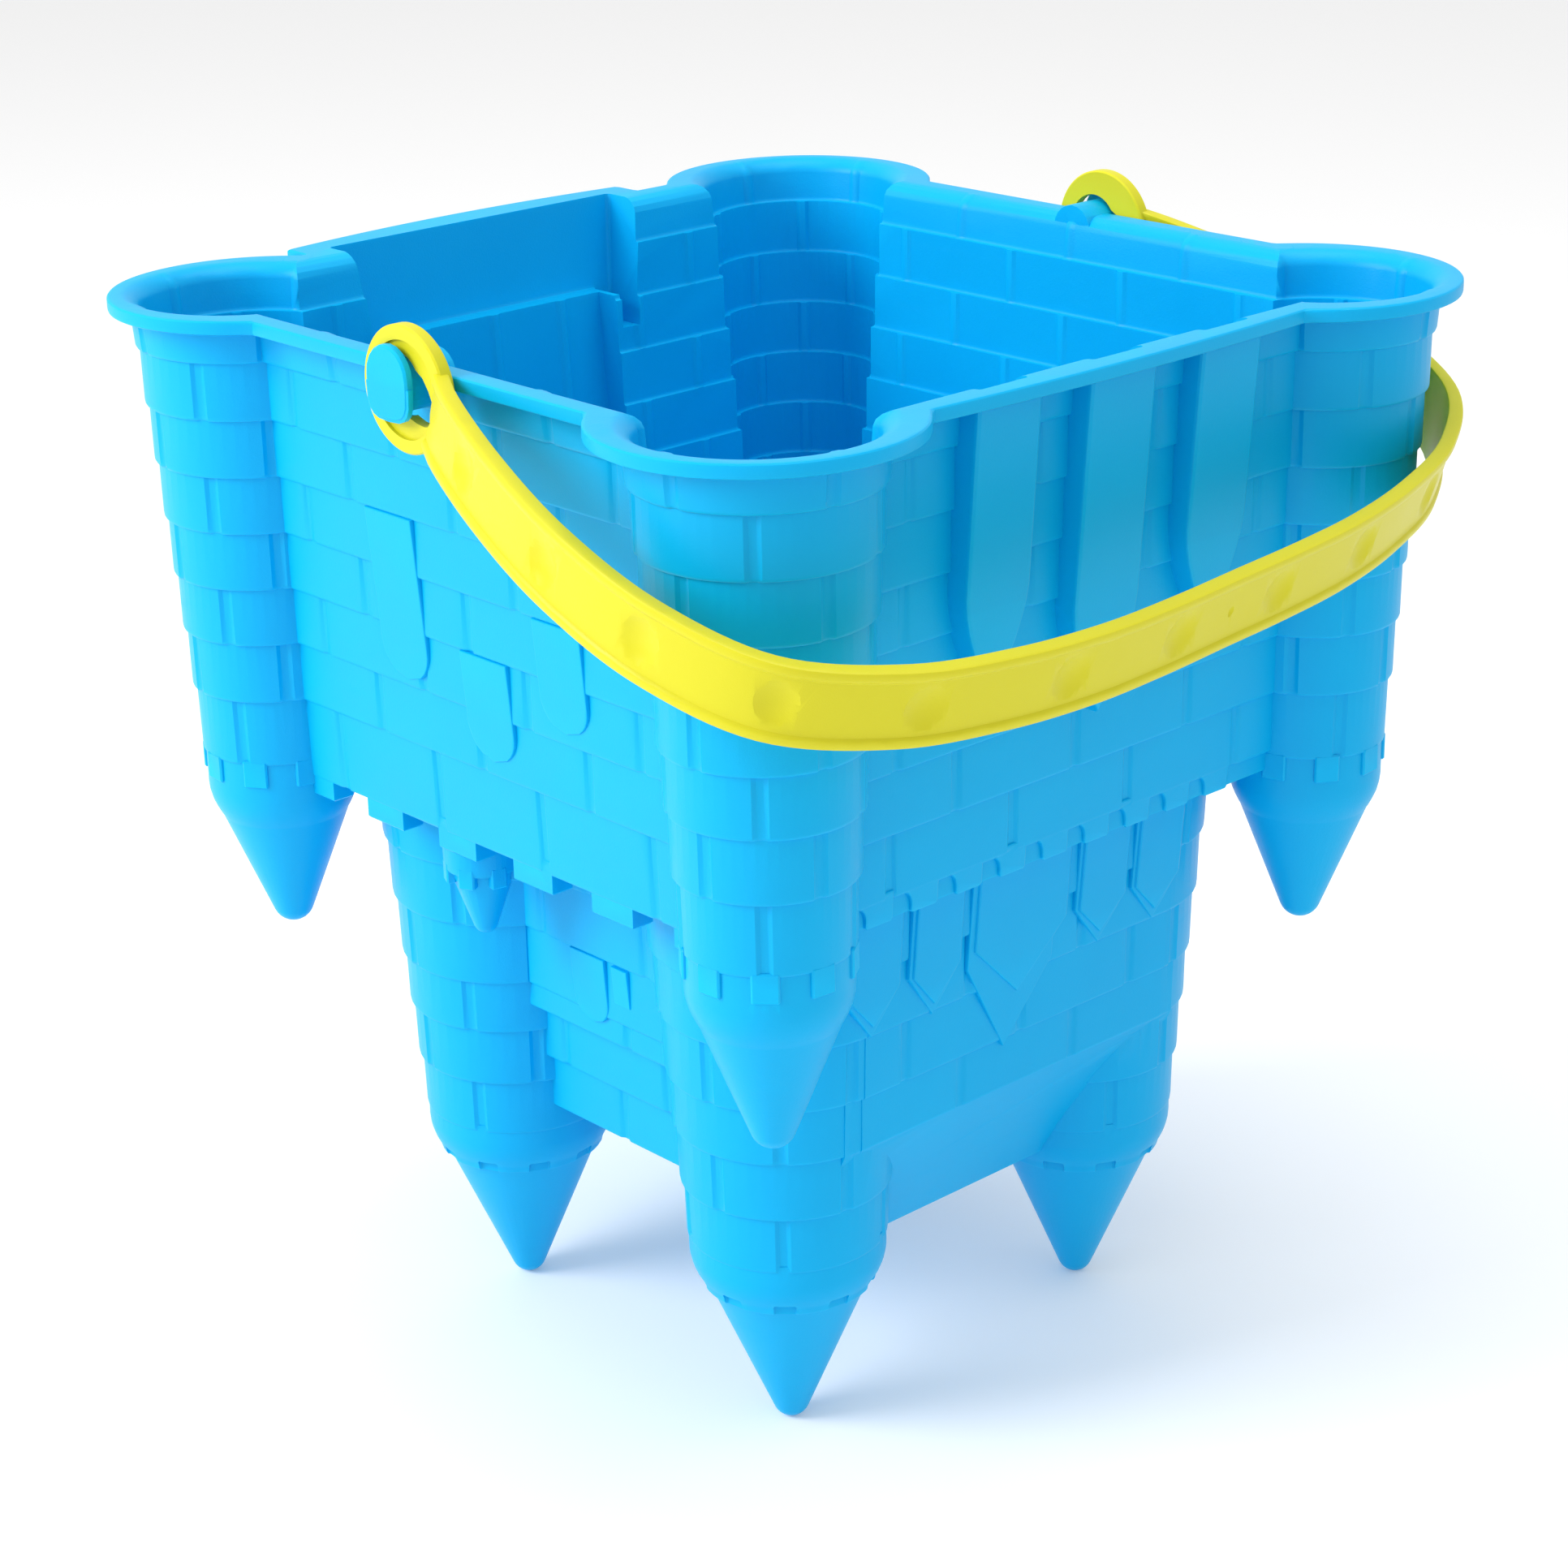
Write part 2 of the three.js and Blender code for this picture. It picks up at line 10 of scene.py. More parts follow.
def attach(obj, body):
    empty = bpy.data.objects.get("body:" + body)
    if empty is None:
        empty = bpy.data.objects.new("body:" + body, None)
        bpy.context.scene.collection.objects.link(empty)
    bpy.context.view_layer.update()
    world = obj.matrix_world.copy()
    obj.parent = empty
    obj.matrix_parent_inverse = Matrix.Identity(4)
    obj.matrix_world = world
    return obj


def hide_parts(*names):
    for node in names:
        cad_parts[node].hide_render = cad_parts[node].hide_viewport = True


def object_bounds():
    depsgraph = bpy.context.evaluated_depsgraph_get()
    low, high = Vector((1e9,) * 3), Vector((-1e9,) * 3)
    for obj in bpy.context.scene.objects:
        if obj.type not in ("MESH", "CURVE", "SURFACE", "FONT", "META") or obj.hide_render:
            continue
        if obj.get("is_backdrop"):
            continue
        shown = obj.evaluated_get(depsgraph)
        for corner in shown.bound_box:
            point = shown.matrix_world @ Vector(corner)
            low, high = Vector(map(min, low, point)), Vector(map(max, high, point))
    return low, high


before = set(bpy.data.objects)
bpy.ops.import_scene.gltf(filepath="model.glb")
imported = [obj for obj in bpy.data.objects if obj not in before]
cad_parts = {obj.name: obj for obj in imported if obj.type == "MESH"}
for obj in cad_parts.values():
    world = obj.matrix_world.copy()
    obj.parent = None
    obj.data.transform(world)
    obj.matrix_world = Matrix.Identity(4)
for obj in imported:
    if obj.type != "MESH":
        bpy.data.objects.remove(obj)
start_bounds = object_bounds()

# ---- overall sizes, mm ---------------------------------------------------------------------------
RIM_Z = 225.5
BUCKET_X = -10.4                 # the bucket's axis in the shared frame
SKIN = 2.0                       # moulded wall
STEP = 0.8                       # overhang of each brick course
JOINT, JOINT_DEEP, JOINT_SOFT = 3.1, 0.52, 0.85   # upright joints: width, depth, width of their sloping sides
COURSES = [0, 10.5, 22.5, 34.5, 46.5, 58.7, 70.9, 83.6, 97.9]
TOWER, TOWER_R, TOWER_DRAFT = 76.8, 23.85, 0.0766
WALL_HALF, WALL_DRAFT = 88.2, 0.08
BRICK = 32.8                     # brick length on the walls
LEDGE = 101.0
TIP = 139.3
LOW_COURSES = [LEDGE - 2, 117.2, 131, 144.6, 156.4, 169.2, 181.5]
LOW_TOWER, LOW_TOWER_R, LOW_TOWER_DRAFT = 43.4, 37.05, 0.0913
LOW_X, LOW_X_DRAFT = 71.3, 0.09
LOW_Y, LOW_Y_DRAFT = 58.5, 0.075
EAVES_X, EAVES_Y, SETBACK, FOOT_Y = 156.4, 150, 3.3, 175.5
FLOOR, FLOOR_X, FLOOR_Y = 187, 50, 26
RIM_HALF, RIM_R, CORNER, RIM_T = 93.6, 30.4, 75, 2.9
PIN_DEPTH, PIN_R = 3.0, 5.2

scratch = bpy.data.collections.new("scratch")
bpy.context.scene.collection.children.link(scratch)


# ---- closed solids from stacked outlines ---------------------------------------------------------
def solid(verts, faces, name="piece"):
    mesh = bpy.data.meshes.new(name)
    mesh.from_pydata([(x, y, -d) for x, y, d in verts], [], faces)
    b = bmesh.new()
    b.from_mesh(mesh)
    bmesh.ops.remove_doubles(b, verts=b.verts, dist=1e-4)
    bmesh.ops.recalc_face_normals(b, faces=b.faces)
    bmesh.ops.triangulate(b, faces=b.faces)
    b.to_mesh(mesh)
    b.free()
    obj = bpy.data.objects.new(name, mesh)
    scratch.objects.link(obj)
    return obj


def stack(loops, name="piece"):
    """One closed solid from outlines with the same number of points, capped at both ends."""
    n = len(loops[0])
    verts = [p for loop in loops for p in loop]
    faces = [list(range(n)), list(range(len(verts) - n, len(verts)))]
    for k in range(len(loops) - 1):
        for i in range(n):
            j = (i + 1) % n
            faces.append([k * n + i, k * n + j, (k + 1) * n + j, (k + 1) * n + i])
    return solid(verts, faces, name)


def boolean(base, others, operation):
    group = bpy.data.collections.new("operands")
    for o in others:
        group.objects.link(o)
    mod = base.modifiers.new("cut", "BOOLEAN")
    mod.operation, mod.solver, mod.operand_type, mod.collection = operation, "MANIFOLD", "COLLECTION", group
    mesh = bpy.data.meshes.new_from_object(base.evaluated_get(bpy.context.evaluated_depsgraph_get()))
    for o in [base, *others]:
        bpy.data.objects.remove(o)
    bpy.data.collections.remove(group)
    obj = bpy.data.objects.new("joined", mesh)
    scratch.objects.link(obj)
    return obj


def join(parts):
    return boolean(parts[0], parts[1:], "UNION")


def cut(base, parts):
    return boolean(base, parts, "DIFFERENCE")


# ---- brick courses -------------------------------------------------------------------------------
# soft lower edge of a course: (how far above the edge, how far in)
SOFT_EDGE = [(0.8, 0.0), (0.35, 0.07), (0.12, 0.22), (0.0, 0.5)]


def course_rows(top, bottom, first, skin):
    """Rows of one course as (depth, share of the way down, set in)."""
    low = bottom - (0.45 * skin if skin else 0)
    if first and skin:          # the mouth opens out to the rim's flat land in a soft round
        rows = [(-6, -3.4), (0, -3.4), (0.25, -2.4), (0.9, -1.25), (1.9, -0.35), (3.1, 0)]
    elif first:
        rows = [(0.6, 0)]
    else:
        rows = [(top - 1.4, 0)]
    rows += [(low - up, inward) for up, inward in SOFT_EDGE]
    return [(d, min(max((d - top) / (bottom - top), 0), 1), inward) for d, inward in rows]


def ring(x, y, r_top, r_bottom, top, bottom, joints, skin=0, first=False, facets=9):
    """One brick course round a tower; joints are the angles of its upright joints."""
    gap = JOINT / 2 / ((r_top + r_bottom) / 2)
    soft = JOINT_SOFT / r_bottom
    turns = []
    for k, a in enumerate(joints):
        nxt = joints[k + 1] if k + 1 < len(joints) else joints[0] + 2 * math.pi
        turns += [(a - gap, 0), (a - gap + soft, 1), (a + gap - soft, 1), (a + gap, 0)]
        span = (nxt - gap) - (a + gap)
        turns += [(a + gap + span * i / facets, 0) for i in range(1, facets)]
    loops = []
    for depth, share, inward in course_rows(top, bottom, first, skin):
        r = r_top + (r_bottom - r_top) * share - inward - skin
        loops.append([(x + (r - JOINT_DEEP * j) * math.cos(a), y + (r - JOINT_DEEP * j) * math.sin(a), depth)
                      for a, j in turns])
    return stack(loops, "course")


SIDES = {"A": (0, -1), "B": (1, 0), "C": (0, 1), "D": (-1, 0)}


def on_side(side, a, out, depth):
    """A point on a wall: a runs along X on the Y walls and along Y on the X walls."""
    sx, sy = SIDES[side]
    return (sx * out, a, depth) if sx else (a, sy * out, depth)


def slab(side, half, top, bottom, joints, reach, skin=0, first=False, back=14):
    """One brick course of a straight wall; half(depth) is the wall's distance from the axis."""
    h_top, h_bottom = half(top) - (0 if first else STEP), half(bottom)
    marks = []
    for a in sorted(joints):
        left, right = a - JOINT / 2, a + JOINT / 2
        marks += [(left, 0), (left + JOINT_SOFT, 1), (right - JOINT_SOFT, 1), (right, 0)]
    marks = [(-reach, 0)] + marks + [(reach, 0)]
    loops = []
    for depth, share, inward in course_rows(top, bottom, first, skin):
        h = h_top + (h_bottom - h_top) * share - inward - skin
        front = [on_side(side, a, h - JOINT_DEEP * j, depth) for a, j in marks]
        loops.append(front + [on_side(side, a, h_bottom - back, depth) for a in (reach, -reach)])
    return stack(loops, "course")


def running_bond(index, half_length):
    """Joint places of a course: every brick length, set over by half a brick on every other course."""
    shift = 0.5 if index % 2 else 0.0
    n = int(half_length // BRICK) + 1
    places = [(k + shift) * BRICK for k in range(-n - 1, n + 1)]
    return [a for a in places if abs(a) < half_length - 3]


# ---- other solids --------------------------------------------------------------------------------
def turned(x, y, profile, count=60):
    """Solid of revolution from (radius, depth) pairs, top to bottom."""
    return stack([[(x + r * math.cos(2 * math.pi * i / count), y + r * math.sin(2 * math.pi * i / count), d)
                   for i in range(count)] for r, d in profile], "turned")


def cone_profile(r, depth, tip, ball, slope, skin=0):
    """Cone with a ball-shaped end, moved inwards by the skin."""
    lean = math.atan(slope)
    ball = max(ball - skin, 0.8)
    tip -= skin * 1.5
    points = [(r - skin / math.cos(lean), depth)]
    for k in range(7):
        a = lean + (math.pi / 2 - lean) * k / 6.5
        points.append((ball * math.cos(a), tip - ball + ball * math.sin(a)))
    return points


def plate(side, half, outline, proud, back=4, soft=0.45):
    """A raised panel on a wall: outline in (along, depth), lifted off a wall of distance half(depth)."""
    loops = []
    n = len(outline)
    for out, shrink in ((-back, 0), (proud - soft, 0), (proud - 0.3 * soft, 0.3 * soft), (proud, soft)):
        loop = []
        for i, (a, d) in enumerate(outline):
            (a0, d0), (a1, d1) = outline[i - 1], outline[(i + 1) % n]
            v0, v1 = Vector((a - a0, d - d0)).normalized(), Vector((a1 - a, d1 - d)).normalized()
            n0, n1 = Vector((v0.y, -v0.x)), Vector((v1.y, -v1.x))
            m = (n0 + n1).normalized()
            m /= max(m.dot(n0), 0.4)
            loop.append(on_side(side, a - m.x * shrink, half(d) + out, d - m.y * shrink))
        loops.append(loop)
    return stack(loops, "panel")


def lancet(centre, half, top, shoulder, tip, power=1.0, steps=6):
    """Panel outline with straight sides and an end that runs to a point (power 1) or a round (2)."""
    down = []
    for k in range(steps):
        t = k / steps
        width = math.sqrt(1 - t * t) if power == 2 else 1 - t ** power
        down.append((centre + half * width, shoulder + (tip - shoulder) * t))
    left = [(2 * centre - a, d) for a, d in down]
    return [(centre + half, top)] + down + [(centre, tip)] + left[::-1] + [(centre - half, top)]


def block(x0, x1, y0, y1, d0, d1, soft=0.4):
    rows = ((d0, soft), (d0 + soft, 0), (d1 - soft, 0), (d1, soft))
    return stack([[(x0 + s, y0 + s, d), (x1 - s, y0 + s, d), (x1 - s, y1 - s, d), (x0 + s, y1 - s, d)]
                  for d, s in rows], "block")


def set_input(modifier, tree, name, value):
    for item in tree.interface.items_tree:
        if item.item_type == "SOCKET" and item.in_out == "INPUT" and item.name == name:
            modifier[item.identifier] = value
            return
    raise KeyError(name)


def teeth_tree():
    """Geometry nodes: one battlement tooth repeated round a circle, each turned to face outwards."""
    tree = bpy.data.node_groups.new("Battlement teeth", "GeometryNodeTree")
    inputs = (("Teeth", "NodeSocketInt", 10), ("Radius", "NodeSocketFloat", 18.0),
              ("First tooth angle", "NodeSocketFloat", 0.0), ("Tooth size", "NodeSocketVector", (3, 6, 4)),
              ("Centre", "NodeSocketVector", (0, 0, 0)), ("Material", "NodeSocketMaterial", None))
    for name, kind, default in inputs:
        s = tree.interface.new_socket(name, in_out="INPUT", socket_type=kind)
        if default is not None:
            s.default_value = default
    tree.interface.new_socket("Geometry", in_out="OUTPUT", socket_type="NodeSocketGeometry")
    node, link = tree.nodes.new, tree.links.new
    given, result = node("NodeGroupInput"), node("NodeGroupOutput")
    circle = node("GeometryNodeMeshCircle")
    tooth = node("GeometryNodeMeshCube")
    place, turn = node("GeometryNodeInstanceOnPoints"), node("ShaderNodeCombineXYZ")
    index, step, angle = node("GeometryNodeInputIndex"), node("ShaderNodeMath"), node("ShaderNodeMath")
    step.operation, angle.operation = "DIVIDE", "MULTIPLY"
    angle.inputs[1].default_value = 2 * math.pi
    move, real = node("GeometryNodeTransform"), node("GeometryNodeRealizeInstances")
    dress = node("GeometryNodeSetMaterial")
    spin = node("ShaderNodeCombineXYZ")
    link(given.outputs["Teeth"], circle.inputs["Vertices"])
    link(given.outputs["Radius"], circle.inputs["Radius"])
    link(given.outputs["Tooth size"], tooth.inputs["Size"])
    link(index.outputs[0], step.inputs[0])
    link(given.outputs["Teeth"], step.inputs[1])
    link(step.outputs[0], angle.inputs[0])
    link(angle.outputs[0], turn.inputs["Z"])
    link(circle.outputs["Mesh"], place.inputs["Points"])
    link(tooth.outputs["Mesh"], place.inputs["Instance"])
    link(turn.outputs[0], place.inputs["Rotation"])
    link(place.outputs[0], move.inputs["Geometry"])
    link(given.outputs["First tooth angle"], spin.inputs["Z"])
    link(spin.outputs[0], move.inputs["Rotation"])
    link(given.outputs["Centre"], move.inputs["Translation"])
    link(move.outputs[0], real.inputs[0])
    link(real.outputs[0], dress.inputs["Geometry"])
    link(given.outputs["Material"], dress.inputs["Material"])
    link(dress.outputs[0], result.inputs[0])
    return tree


TEETH = teeth_tree()


def teeth(x, y, r, depth, count, size, first):
    """Battlement teeth round a tower, with softened edges; size is (through, across, tall)."""
    obj = bpy.data.objects.new("teeth", bpy.data.meshes.new("teeth"))
    scratch.objects.link(obj)
    mod = obj.modifiers.new("teeth", "NODES")
    mod.node_group = TEETH
    for name, value in (("Teeth", count), ("Radius", r), ("First tooth angle", first), ("Tooth size", size),
                        ("Centre", (x, y, -depth))):
        set_input(mod, TEETH, name, value)
    mesh = bpy.data.meshes.new_from_object(obj.evaluated_get(bpy.context.evaluated_depsgraph_get()))
    bpy.data.objects.remove(obj)
    b = bmesh.new()
    b.from_mesh(mesh)
    bmesh.ops.bevel(b, geom=list(b.edges), offset=0.35, segments=1, affect="EDGES")
    bmesh.ops.triangulate(b, faces=b.faces)
    b.to_mesh(mesh)
    b.free()
    out = bpy.data.objects.new("teeth", mesh)
    scratch.objects.link(out)
    return out


# ---- the bucket ----------------------------------------------------------------------------------
CORNERS = [(1, 1), (-1, 1), (-1, -1), (1, -1)]


def wall_face(d):
    return WALL_HALF - WALL_DRAFT * d


def low_x(d):
    return LOW_X - LOW_X_DRAFT * (d - LEDGE)


def low_y(d):
    return LOW_Y - LOW_Y_DRAFT * (d - LEDGE)


def joint_angles(i, j, index):
    outward = math.atan2(j, i)
    return [outward + (0.5 * (1 - index % 2) + k) * 2 * math.pi / 5 for k in range(5)]


def upper_tower(i, j, skin):
    x, y = i * TOWER, j * TOWER
    parts = []
    for n in range(len(COURSES) - 1):
        top, bottom = COURSES[n], COURSES[n + 1]
        r0 = TOWER_R - TOWER_DRAFT * top - (STEP if n else 0)
        parts.append(ring(x, y, r0, TOWER_R - TOWER_DRAFT * bottom, top, bottom,
                          joint_angles(i, j, n), skin, n == 0))
    collar = [(15.8, 96), (15.9, 105.5), (15.75, 107.3), (15.3, 109.2), (14.6, 110.9),
              (13.95, 112.2), (13.5, 112.9)]
    cone = cone_profile(13.35, 113.3 - 0.6 * skin, TIP, 4.5, 0.39, skin)
    parts.append(turned(x, y, [(r - skin, d - (0.6 * skin if d > 100 else 0)) for r, d in collar] + cone))
    if not skin:
        parts.append(teeth(x, y, 14.65, 100.0, 9, (3.4, 5.3, 6.0), math.atan2(j, i)))
    return parts


def lower_tower(i, j, skin):
    x, y = i * LOW_TOWER, j * LOW_TOWER
    parts = []
    for n in range(len(LOW_COURSES) - 1):
        top, bottom = LOW_COURSES[n], LOW_COURSES[n + 1]
        r0 = LOW_TOWER_R - LOW_TOWER_DRAFT * top - STEP
        parts.append(ring(x, y, r0, LOW_TOWER_R - LOW_TOWER_DRAFT * bottom, top, bottom,
                          joint_angles(i, j, n), skin))
    band = LOW_TOWER_R - LOW_TOWER_DRAFT * 185
    if skin:
        hollow = [(band - 1 - skin, 179), (band - 1.6 - skin, 188)]
        parts.append(turned(x, y, hollow + cone_profile(16.6, 192, RIM_Z, 3.9, 0.405, skin)))
        return parts
    rounding = ((0, 180), (0, 184.8), (0.12, 186), (0.35, 187.1), (0.7, 188.2), (1.1, 189.2), (1.6, 190.1),
                (2.0, 191), (2.15, 191.8), (2.4, 192.2))
    crown = turned(x, y, [(band - inward, d) for inward, d in rounding])
    parts.append(cut(crown, [teeth(x, y, 19.75, 191.7, 10, (5.0, 4.6, 3.9), math.atan2(j, i))]))
    parts.append(turned(x, y, [(16.9, 184), (16.9, 191)] + cone_profile(16.5, 192.6, RIM_Z, 3.9, 0.398)))
    return parts


def walls(skin):
    parts = []
    for side in "ABCD":
        for n in range(len(COURSES) - 1):
            top, bottom = COURSES[n], COURSES[n + 1]
            if n == len(COURSES) - 2:
                bottom = 96.8 if side in "BD" else LEDGE
            parts.append(slab(side, wall_face, top, bottom, running_bond(n, 66), 64, skin, n == 0))
    half = wall_face(LEDGE) - STEP - skin
    core = 76 - skin
    parts.append(stack([[(-core, -core, d), (core, -core, d), (core, core, d), (-core, core, d)]
                        for d in (-6 if skin else 0.6, LEDGE - skin)], "core"))
    parts.append(stack([[(-half, -half, d), (half, -half, d), (half, half, d), (-half, half, d)]
                        for d in (90, LEDGE - skin)], "core"))
    return parts


def lower_walls(skin):
    parts = []
    for n in range(len(LOW_COURSES) - 1):
        top, bottom = LOW_COURSES[n], LOW_COURSES[n + 1]
        if bottom <= EAVES_X:
            for side in "BD":
                parts.append(slab(side, low_x, top, bottom, running_bond(n, 46), 44, skin, back=20))
        if bottom < EAVES_Y:
            for side in "AC":
                parts.append(slab(side, low_y, top, bottom, running_bond(n, 40), 40, skin, back=20))
    for side in "AC":
        joint = 8.2 if side == "A" else -8.2
        parts.append(slab(side, low_y, LOW_COURSES[3], EAVES_Y, [joint], 40, skin, back=20))
        for n, (top, bottom) in enumerate(((EAVES_Y, 163), (163, FOOT_Y))):
            parts.append(slab(side, lambda d: low_y(d) - SETBACK + STEP * (1 - n), top, bottom,
                              [0] if n else [-16.4, 16.4], 36, skin, back=20))
    top = LEDGE - 4
    x_eaves, y_foot = low_x(EAVES_X) - STEP * 0.6 - skin, low_y(FOOT_Y) - SETBACK - 0.4 - skin
    share = (FOOT_Y - EAVES_X) / (FLOOR - EAVES_X)
    rows = [(low_x(top) - 4 - skin, y_foot - 1, top), (x_eaves, y_foot - 1, EAVES_X - skin - 0.2),
            (x_eaves + (FLOOR_X - skin - x_eaves) * share, y_foot - 1, FOOT_Y - skin),
            (FLOOR_X - skin, FLOOR_Y - skin, FLOOR - skin)]
    parts.append(stack([[(-x, -y, d), (x, -y, d), (x, y, d), (-x, y, d)] for x, y, d in rows], "core"))
    return parts


def pads(skin):
    """Tall lancet panels on the +X side, the gatehouse on the -X side."""
    parts = []
    top = -6 if skin else 0.6
    for centre, half, shoulder, tip in ((-29.6, 8.5, 39, 60.5), (0.7, 9.1, 48, 71), (31.1, 8.7, 39, 60.5)):
        shape = lancet(centre, half - skin, top, shoulder, tip - skin * 1.6, 1.6)
        parts.append(plate("B", wall_face, shape, 4.4 - skin, back=9, soft=0.9))
    low, lintel, arch = 30 - skin, 22.5 - skin, 26 + skin
    bay = [(37.5 - skin, top), (34.5 - skin, low), (arch, low), (arch, lintel), (-arch, lintel),
           (-arch, low), (-41.5 + skin, low), (-45.5 + skin, top)]
    parts.append(plate("D", wall_face, bay, 9.4 - skin, back=15, soft=1.0))
    gate_joints = [-22.5, -3.5, 15.5]
    parts.append(slab("D", lambda d: wall_face(d) + 6.4, 20.5 - skin, 97, gate_joints, 28.5 - skin, skin,
                      back=16))
    return parts


def wall_details():
    parts = []
    for side in "AC":
        for centre, half, top, shoulder, tip in ((-21, 7.4, 34.5, 62, 69.5), (4.3, 7.2, 58.7, 73.5, 80.5),
                                                 (28.2, 7.0, 46.5, 62, 68.5)):
            parts.append(plate(side, wall_face, lancet(centre, half, top, shoulder, tip, 2), 0.2, soft=0.4))
        parts.append(plate(side, low_y, lancet(-2, 5.4, 131, 141.5, 146.8, 2), 0.2, soft=0.4))
        slit = [(10.5, 131.5), (10.5, 140), (5.6, 140), (5.6, 131.5)]
        parts.append(plate(side, low_y, slit, 0.1, soft=0.35))
        out = wall_face(LEDGE) - 0.2
        s = SIDES[side][1]
        for a in (-60, -36, -12, 12, 36, 60):
            y0, y1 = sorted((s * out, s * (out - 5)))
            parts.append(block(a - 6, a + 6, y0, y1, LEDGE - 3, 105.2))
    for side in "BD":
        s = SIDES[side][0]
        for k in range(-4, 5):
            right = 12.0 * k - 0.2
            arch = [(right, 95), (right, 100.9), (right - 0.5, 101.4), (right - 6.6, 101.4),
                    (right - 7.1, 100.9)]
            arch += [(right - 9.5 + 2.4 * math.cos(t * math.pi / 16), 99.6 - 3.0 * math.sin(t * math.pi / 16))
                     for t in range(9)]
            arch += [(right - 11.9, 96.6), (right - 11.9, 95)]
            parts.append(plate(side, wall_face, arch, -0.15, back=5, soft=0.4))
        # short pointed panels under the ledge, each a thin layer on a slightly larger one
        for centre, half, shoulder, tip in ((-43.5, 6.5, 121.5, 128.5), (-26.7, 6.5, 121.5, 129),
                                            (-2.9, 13.2, 121.2, 134), (21.2, 6.9, 121.5, 128.3),
                                            (38, 6.7, 121.5, 128.3)):
            for wider, lower, proud in ((0.8, 2.5, 0.35), (0, 0, 0.9)):
                shape = lancet(centre, half + wider, LEDGE - 2, shoulder, tip + lower, 1.0, 2)
                parts.append(plate(side, low_x, shape, proud, back=6, soft=0.5))
        keystone = [(7.4, LEDGE), (7.4, 129.5), (-5.2, 146), (-17.4, 125), (-17.4, LEDGE)]
        parts.append(plate(side, low_x, keystone, 0.3, back=6, soft=0.4))
    return parts


def turrets(skin):
    parts = []
    for x, y in ((-15.8, -71), (15.8, 71)):
        r = 7.9 - skin
        collar = [(r + 0.3, 98), (r, 110.2 - skin), (r - 0.3, 110.8 - skin), (r - 1.4, 111 - skin)]
        cone = [(6.6 - skin, 104)] + cone_profile(6.6, 112 - skin, 125.7, 2.6, 0.34, skin)
        parts += [turned(x, y, collar, 40), turned(x, y, cone, 40)]
        if not skin:
            parts.append(teeth(x, y, r - 1.0, 111.2, 7, (2.0, 3.6, 4.6), math.pi / 2))
    return parts


# ---- rim flange ----------------------------------------------------------------------------------
EDGE_BOW, EDGE_SPAN = 1.8, 51            # how far the +X edge bows out, and over what half length
LIP_X, LIP_BOW, LIP_FROM, LIP_TO = 100.8, 3.4, -49.8, 42    # the lip round the gatehouse bay


def rim_reach(angle, grow):
    """Distance from the axis to the flange's edge in one direction."""
    c, s = math.cos(angle), math.sin(angle)
    half = RIM_HALF + grow
    t = half / max(abs(c), abs(s))
    if c > abs(s):              # the +X edge bows out between its corner rounds
        for _ in range(4):
            t = (half + EDGE_BOW * max(0, 1 - (t * s / EDGE_SPAN) ** 2)) / c
    best = t
    for i, j in CORNERS:
        along = CORNER * (i * c + j * s)
        off = 2 * CORNER ** 2 - along ** 2
        r = RIM_R + grow
        if along > 0 and off < r * r:
            best = max(best, along + math.sqrt(r * r - off))
    if c < -0.7:                # the lip round the gatehouse bay, bowed as well
        t = (LIP_X + grow) / -c
        for _ in range(4):
            t = (LIP_X + grow + LIP_BOW * max(0, 1 - ((t * s + 4) / 46) ** 2)) / -c
        y = t * s
        if LIP_FROM - grow < y < LIP_TO + grow:
            best = max(best, t)
        else:                   # short ends of the lip
            for edge in (LIP_FROM - grow, LIP_TO + grow):
                if edge * s > 0:
                    te = edge / s
                    if -te * c < t * -c and -te * c > RIM_HALF:
                        best = max(best, te)
    return best


def rim_flange():
    count = 720
    angles = [2 * math.pi * (k + 0.5) / count for k in range(count)]
    rows = [(0.0, -0.7), (0.08, -0.3), (0.35, -0.05), (0.8, 0), (RIM_T - 0.6, 0), (RIM_T - 0.2, -0.12),
            (RIM_T, -0.5)]
    loops = []
    for d, grow in rows:
        reach = [rim_reach(a, grow) for a in angles]
        loops.append([(r * math.cos(a), r * math.sin(a), d) for r, a in zip(reach, angles)])
    return stack(loops, "rim")


def pin(side):
    """Moulded pin and its tall rounded head, parted at the hinge's level."""
    def shape(y, w, top, bottom, grow=0.0, n=10):
        pts = []
        r = w / 2 + grow
        for k in range(n + 1):      # round top
            a = math.pi * k / n
            pts.append((r * math.cos(a), side * y, PIN_DEPTH - (top - w / 2) - r * math.sin(a)))
        for k in range(n + 1):      # flatter bottom with round corners
            a = math.pi + math.pi * k / n
            e = 0.62
            pts.append((r * math.copysign(abs(math.cos(a)) ** e, math.cos(a)), side * y,
                        PIN_DEPTH + (bottom - w / 2) + r * abs(math.sin(a)) ** e))
        return pts
    shank = stack([shape(y, 10.4, 5.2, 5.2) for y in (86.4, 97.6)], "shank")
    oval = (12.4, 7.6, 6.7)
    head = stack([shape(y, *oval, grow)
                  for y, grow in ((97.15, -0.3), (97.35, 0.0), (98.5, -0.05), (98.95, -0.45))], "head")
    step = stack([shape(y, *oval, grow) for y, grow in ((97.6, 0.25), (98.65, 0.25), (98.75, 0.1))], "head")
    lower = block(-9, 9, *sorted((side * 95, side * 101)), PIN_DEPTH, PIN_DEPTH + 12)
    half_head = boolean(step, [lower], "INTERSECT")
    return [shank, head, half_head]


